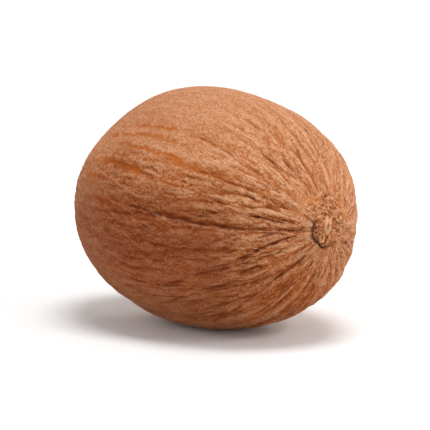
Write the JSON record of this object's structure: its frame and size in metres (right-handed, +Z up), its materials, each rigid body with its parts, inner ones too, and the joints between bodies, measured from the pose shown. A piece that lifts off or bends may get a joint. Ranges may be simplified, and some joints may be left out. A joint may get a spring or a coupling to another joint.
{
  "type": "whole nutmeg",
  "caption": "Whole dried nutmeg lying on its side: a furrowed brown ovoid with a round scar at one end, a pit at the other and a small flat spot to rest on.",
  "frame": {"origin": "centre of the bounding box, on the plane that the seed rests on", "axes": "+X along the seed towards the hilum, the round scar; -Y towards the side with the main furrow; +Z up"},
  "size_m": [0.027, 0.0196, 0.0194],
  "materials": {
    "nutmeg_seed": "matt, dry, finely wrinkled"
  },
  "bodies": {
    "root": {"nutmeg": "nutmeg_seed"}
  },
  "joints": []
}
